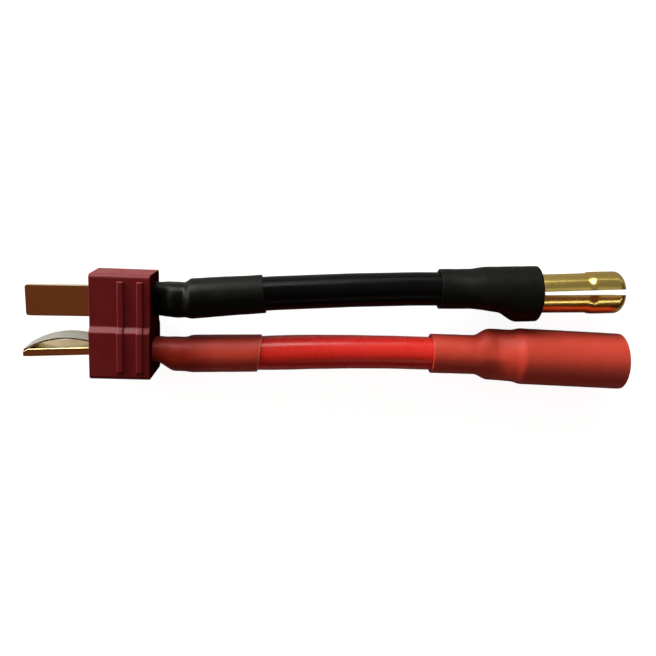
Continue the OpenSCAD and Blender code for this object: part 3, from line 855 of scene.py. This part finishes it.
def rollSleeve(name, rings, wall):
    # a flat grid rolled into a tube ring by ring, its seam merged, then given its wall
    sides = sleeveSpec["sides"]
    clearSelection()
    bpy.ops.mesh.primitive_grid_add(x_subdivisions=sides, y_subdivisions=len(rings) - 1, size=mm)
    sleeve = bpy.context.object
    sleeve.name = name
    points = [p for ring in rings for p in ring]
    for v, p in zip(sleeve.data.vertices, points):
        v.co = Vector(p) * mm
    startEdit(sleeve)
    closeSeams(tiny / 10)
    endEdit()
    applyModifier(sleeve, "SOLIDIFY", thickness=wall * mm, offset=-1, use_even_offset=True)
    softenEdges(sleeve, sleeveSpec["rim"] * mm, fromAngle=55)
    applyModifier(sleeve, "SUBSURF", levels=1, render_levels=1)
    shadeSmooth(sleeve, upTo=60)
    return sleeve


# marks the points along a sleeve's cut end, where a highlight is painted into its colour
def markCutHighlight(sleeve, test):
    mark = sleeve.data.attributes.new("cutEdge", "FLOAT", "POINT")
    for v, share in zip(sleeve.data.vertices, mark.data):
        share.value = 1 if test(v.co / mm) else 0


def spread(start, stop, step):
    count = max(1, round((stop - start) / step))
    return [start + (stop - start) * i / count for i in range(count + 1)]


def ringPlaces(stops, steps):
    # places of the rings, each stretch between two stops at its own step
    out = []
    for start, stop, step in zip(stops, stops[1:], steps):
        out = out[:-1] + spread(start, stop, step)
    return out


def plugSleeve(colour, spec):
    j = jointSpec
    cross = colour == "red"
    bladeY = bladeSpec["crossY"] if cross else bladeSpec["stemY"]
    strip = j["tabLen"] + j["bare"]
    tabEnd, shoulder = j["tabLen"] + j["step"], strip - j["step"]
    grow = sleeveSpec["gap"] + spec["wall"]
    half = bladeSpec["thick"] / 2
    end = spec["len"][colour]

    def besideBlade(x):
        y, z = wireAt(routes[colour], rear + x)
        return (z, bladeY - y) if cross else (y - bladeY, z)

    lean = j["lean"] * besideBlade(strip)[0]
    hump = (j["flatFrom"] + j["tabLen"]) / 2
    calmBy = strip + spec["calmPast"]
    stops = (spec["from"][colour], shoulder, strip + spec["finePast"], end)
    rings = []
    for x in ringPlaces(stops, spec["ringSteps"]):
        c = besideBlade(max(x, strip))
        wireR = wireSpec["across"] / 2 + grow + blend(spec["swell"][colour], 0, shoulder, end, x)
        lump = j["hump"] * (1 - ease(abs(x - hump) / (j["tabLen"] / 2)))
        side = bladeSpec["tabWide"] / 2 + j["side"][colour] + grow + lump
        back = -(half + j["back"] + grow)
        front = blend(-back, half + j["flat"] + j["over"] + grow, 0, hump, x)
        onTab = ((lean, (front + back) / 2), (lean - side, back), (lean + side, front))
        onWire = (c, (c[0] - wireR, c[1] - wireR), (c[0] + wireR, c[1] + wireR))
        mid, low, high = [
            [blend(a[k], b[k], tabEnd, shoulder, x) for k in (0, 1)] for a, b in zip(onTab, onWire)
        ]
        ring = ringOf(x, mid, low, high, blend(j["square"], 2, tabEnd, shoulder, x))
        amount = blend(spec["crinkle"][colour], spec["calm"], spec["calmFrom"], calmBy, x)
        ring = crinkle(ring, mid, amount, spec["seed"][colour])
        wireY = wireAt(routes[colour], rear + x)[0]
        skew = spec["skew"][colour] * ease((x - end + spec["skewOver"]) / spec["skewOver"])
        placed = []
        for along, a, b in ring:
            y, z = (bladeY - b, a) if cross else (bladeY + a, b)
            placed.append((rear + along + skew * (y - wireY), y, z))
        rings.append(placed)
    sleeve = rollSleeve(colour + "PlugSleeve", rings, spec["wall"])
    wireY = wireAt(routes[colour], rear + end)[0]
    markCutHighlight(sleeve, lambda p: p.x - spec["skew"][colour] * (p.y - wireY) > rear + end - spec["cut"])
    return sleeve


def bulletSleeve(colour, spec):
    red = colour == "red"
    bullet = socketSpec if red else pinSpec
    mount = mounts["socket_bore" if red else "pin_contact"]
    axis = Vector(mount["axis"])
    start = Vector(mount["pos_m"]) / mm - axis * (boreMiddle(bullet) if red else bandMiddle(bullet))
    grow = sleeveSpec["gap"] + spec["wall"]
    wireEnd = routes[colour][-1][0] / mm
    wireR = wireSpec["across"] / 2 + grow
    frontR = bullet["outR"] if red else bullet["cupR"]
    front = bullet["len"] + spec["lip"] if red else bullet["cupLen"]
    wide = bullet["cupLen"] - spec["wideBefore"]
    scoop, sag = bullet["scoop"], spec["sag"]
    stops = (wireEnd - spec["lap"][colour] - start.x, spec["fineFrom"], wide + spec["finePast"], front)
    rings = []
    for d in ringPlaces(stops, spec["ringSteps"]):
        x = start.x + d
        closed = blend(0, 1, *spec["closedRise"], d)  # the closed side steps up before the cup
        if red:  # the open side rises in one long slope, or sags and then comes up where the scoop ends
            opened = blend(0, 1, spec["redRise"], scoop + bullet["slant"] + spec["redPast"], d)
        else:
            opened = blend(0, sag, scoop - spec["sagFrom"], scoop, d)
            opened += blend(0, 1 - sag, scoop - spec["hitch"][0], scoop + spec["hitch"][1], d)
        lowShare = (closed if red else opened, closed)
        highShare = (closed, opened if red else blend(0, 1, *spec["topRise"], d))
        tent = spec["tent"] * (closed - opened) if red else 0
        c = wireAt(routes[colour], min(x, wireEnd))
        r = blend(bullet["cupR"] + grow, frontR + grow, wide - spec["widen"], wide, d)
        middle = (start.y + d * axis.y / axis.x, start.z)
        mid = [mix(c[k], middle[k], closed) for k in (0, 1)]
        low = [mix(c[k] - wireR, middle[k] - r, lowShare[k]) for k in (0, 1)]
        high = [mix(c[k] + wireR, middle[k] + r, highShare[k]) for k in (0, 1)]
        ring = ringOf(x, mid, low, high, tent=tent)
        rings.append(crinkle(ring, mid, spec["crinkle"], spec["seed"][colour]))
    return rollSleeve(colour + "BulletSleeve", rings, spec["wall"])


def shrinkFinish(name, light, deep, plugShadeTone, cutHighlightTone, shine, tightGloss):
    # shrunk polyolefin tube: satin, with a powdery bloom and fine lines drawn along it; painted shade
    # darkens it towards the plug, and a painted highlight lightens its cut ends
    finish, tree, shader = newFinish(name, IOR=1.49, Specular_IOR_Level=shine)
    place = addNode(tree, "ShaderNodeTexCoord")
    parts = addNode(tree, "ShaderNodeSeparateXYZ", Vector=place.outputs["Object"])
    drawn = addNode(tree, "ShaderNodeMapping", {"Scale": (0.1, 1, 1)}, Vector=place.outputs["Object"])
    lines = addNode(tree, "ShaderNodeTexNoise", {"Scale": perMm(0.35), "Detail": 4},
                    Vector=drawn.outputs["Vector"])
    bloom = addNode(tree, "ShaderNodeTexNoise", {"Scale": perMm(2.2), "Detail": 6},
                    Vector=place.outputs["Object"])
    start, stop = sleeveSpec["tight"]
    tight = addNode(tree, "ShaderNodeMapRange",  # its own sheen where it is stretched over the tab
                    {"From Min": start * mm, "From Max": stop * mm, "To Min": tightGloss, "To Max": 0.42},
                    Value=parts.outputs["X"])
    gloss = addNode(tree, "ShaderNodeMapRange", {**noiseSpan, "To Max": 0.56},
                    Value=bloom.outputs["Fac"], To_Min=tight.outputs["Result"])
    start, stop = sleeveSpec["scorch"]
    scorch = addNode(tree, "ShaderNodeMapRange",  # painted shade: darker towards the plug, where the housing shades it
                     {"From Min": start * mm, "From Max": stop * mm, "To Min": 1, "To Max": 0},
                     Value=parts.outputs["X"])
    # painted highlight along the cut ends
    cut = addNode(tree, "ShaderNodeAttribute", {"attribute_name": "cutEdge"})
    tone = addNode(tree, "ShaderNodeMixRGB", {"Color1": linear(deep), "Color2": linear(light)},
                   Fac=bloom.outputs["Fac"])
    # the painted shade towards the plug
    shaded = addNode(tree, "ShaderNodeMixRGB", {"Color2": linear(plugShadeTone)},
                     Fac=scorch.outputs["Result"], Color1=tone.outputs["Color"])
    highlighted = addNode(tree, "ShaderNodeMixRGB", {"Color2": linear(cutHighlightTone)},
                    Fac=cut.outputs["Fac"], Color1=shaded.outputs["Color"])
    bump = addNode(tree, "ShaderNodeBump", {"Strength": 0.15, "Distance": 0.02 * mm},
                   Height=lines.outputs["Fac"])
    linkInto(tree, shader, Base_Color=highlighted.outputs["Color"], Roughness=gloss.outputs["Result"],
             Normal=bump.outputs["Normal"])
    return finish


shrinkFinishes = {
    "black": shrinkFinish("blackShrink", "#0b0c07", "#080905", "#070704", "#1c1d18", 0.1, 0.3),
    "red": shrinkFinish("redShrink", "#ba3e2d", "#ae3525", "#8c1f10", "#dd8468", 0.25, 0.5),
}
bulletSleeves = {}
for colour, shrink in shrinkFinishes.items():
    placeOn(plugSleeve(colour, plugSleeveSpec), colour + "_plug_sleeve", shrink)
    bulletSleeves[colour] = bulletSleeve(colour, bulletSleeveSpec)
    placeOn(bulletSleeves[colour], colour + "_bullet_sleeve", shrink)
print("sleeves shrunk on")


# what stays inside: conductors and solder keep their solids

def strandFinish():
    # fine bare copper strands, twisted
    finish, tree, shader = newFinish("copperStrands", Metallic=1, Roughness=0.35)
    place = addNode(tree, "ShaderNodeTexCoord")
    strands = addNode(tree, "ShaderNodeTexWave", {"Scale": perMm(0.5), "bands_direction": "DIAGONAL"},
                      Vector=place.outputs["Object"])
    tone = addNode(tree, "ShaderNodeMixRGB", {"Color1": linear("#8f4a26"), "Color2": linear("#d08355")},
                   Fac=strands.outputs["Fac"])
    linkInto(tree, shader, Base_Color=tone.outputs["Color"])
    return finish


def solderFinish():
    # cooled solder: dull silver with a frosty grain
    finish, tree, shader = newFinish("solder", Metallic=1)
    place = addNode(tree, "ShaderNodeTexCoord")
    frost = addNode(tree, "ShaderNodeTexNoise", {"Scale": perMm(0.3), "Detail": 5},
                    Vector=place.outputs["Object"])
    tone = addNode(tree, "ShaderNodeMixRGB", {"Color1": linear("#9a9da2"), "Color2": linear("#c2c5c9")},
                   Fac=frost.outputs["Fac"])
    gloss = addNode(tree, "ShaderNodeMapRange", {"To Min": 0.3, "To Max": 0.55},
                    Value=frost.outputs["Fac"])
    linkInto(tree, shader, Base_Color=tone.outputs["Color"], Roughness=gloss.outputs["Result"])
    return finish


copper, tin = strandFinish(), solderFinish()
for name, node in frame["nodes"].items():
    if name.endswith("_conductor") or name.endswith("_solder"):
        node.data.materials.clear()
        node.data.materials.append(copper if name.endswith("_conductor") else tin)


# floor, light and backdrop

stageSpec = {
    "floorSize": 3, "paper": "#acacaa", "paperGlow": 0.92,
    "paperGleam": ("#f8f8f6", "#b2b2ae"),  # painted reflection: the paper as the metal shows it, brighter at the plug than at the bullets
    "lamps": {  # place in mm, size in metres, and power
        "key": ((-357, 328, 67), (0.75, 0.13), 6),  # low and broad, beside the plug
        "side": ((20, 520, 70), (0.3, 0.12), 0.5),
        "high": ((-90, 461, 193), (0.35, 0.12), 1.5),
        "line": ((330, -400, 450), (0.6, 0.05), 0.3),
        "rim": ((330, 560, 45), (0.6, 0.035), 0.07),
        "top": ((277, 105, 445), (0.5, 0.2), 0.08),
    },
    "horizon": ("#2c1e16", "#7d7d7b"),  # away from the key, and towards it
    "ceiling": ("#62331f", "#7d7d7b"),
    "behind": "#343432",  # low down, past the bullets
    "spans": {"Y": (-0.1, 0.4), "Z": (0.3, 0.85), "X": (0.6, 0.95)},  # where these tones fade over
}


def paperFinish(spec):
    # matt paper; what the camera sees of it is lifted to white, and it keeps the shadow
    finish, tree, shader = newFinish("whitePaper", Roughness=0.9, Specular_IOR_Level=0,
                                     Emission_Color=(1, 1, 1, 1))
    path = addNode(tree, "ShaderNodeLightPath")
    place = addNode(tree, "ShaderNodeTexCoord")
    parts = addNode(tree, "ShaderNodeSeparateXYZ", Vector=place.outputs["Object"])
    along = addNode(tree, "ShaderNodeMapRange", {"From Max": cadHigh.x}, Value=parts.outputs["X"])
    # painted reflection: glossy rays see brighter paper, fading from the plug to the bullets
    nearPlug, nearBullets = [linear(colour) for colour in spec["paperGleam"]]
    gleam = addNode(tree, "ShaderNodeMixRGB", {"Color1": nearPlug, "Color2": nearBullets},
                    Fac=along.outputs["Result"])
    tone = addNode(tree, "ShaderNodeMixRGB", {"Color1": linear(spec["paper"])},
                   Fac=path.outputs["Is Glossy Ray"], Color2=gleam.outputs["Color"])
    seen = addNode(tree, "ShaderNodeMapRange", {"To Max": spec["paperGlow"]},
                   Value=path.outputs["Is Camera Ray"])
    linkInto(tree, shader, Base_Color=tone.outputs["Color"], Emission_Strength=seen.outputs["Result"])
    return finish


def layPaper(spec):
    clearSelection()
    bpy.ops.mesh.primitive_plane_add(size=spec["floorSize"], location=(0, 0, cadLow.z))
    floor = bpy.context.object
    floor.name = "floor"
    floor.data.materials.append(paperFinish(spec))


def addSoftbox(name, place, size, power):
    lamp = bpy.data.lights.new(name, "AREA")
    lamp.shape = "RECTANGLE"
    lamp.size, lamp.size_y = size
    lamp.energy = power
    softbox = bpy.data.objects.new(name, lamp)
    softbox.visible_camera = False
    scene.collection.objects.link(softbox)
    softbox.location = Vector(place) * mm
    aim = Vector((cadLow.x + cadHigh.x, 0, 0)) / 2 - softbox.location
    softbox.rotation_euler = aim.to_track_quat("-Z", "Y").to_euler()


def paintBackdrop(spec):
    world = bpy.data.worlds.new("studio")
    scene.world = world
    world.use_nodes = True
    tree = world.node_tree
    place = addNode(tree, "ShaderNodeTexCoord")
    parts = addNode(tree, "ShaderNodeSeparateXYZ", Vector=place.outputs["Generated"])
    shares = {}
    for axis, (start, stop) in spec["spans"].items():
        span = addNode(tree, "ShaderNodeMapRange", {"From Min": start, "From Max": stop},
                       Value=parts.outputs[axis])
        shares[axis] = span.outputs["Result"]
    walls = {}
    for name in ("horizon", "ceiling"):
        fromKey, toKey = [linear(colour) for colour in spec[name]]
        wall = addNode(tree, "ShaderNodeMixRGB", {"Color1": fromKey, "Color2": toKey}, Fac=shares["Y"])
        walls[name] = wall.outputs["Color"]
    horizon = addNode(tree, "ShaderNodeMixRGB", {"Color2": linear(spec["behind"])},
                      Fac=shares["X"], Color1=walls["horizon"])
    shade = addNode(tree, "ShaderNodeMixRGB", Fac=shares["Z"],
                    Color1=horizon.outputs["Color"], Color2=walls["ceiling"])
    path = addNode(tree, "ShaderNodeLightPath")
    white = addNode(tree, "ShaderNodeMixRGB", {"Color2": (1, 1, 1, 1)},
                    Fac=path.outputs["Is Camera Ray"], Color1=shade.outputs["Color"])
    linkInto(tree, tree.nodes["Background"], Color=white.outputs["Color"])


layPaper(stageSpec)
for name, (place, size, power) in stageSpec["lamps"].items():
    addSoftbox(name, place, size, power)
paintBackdrop(stageSpec)
print("stage set")
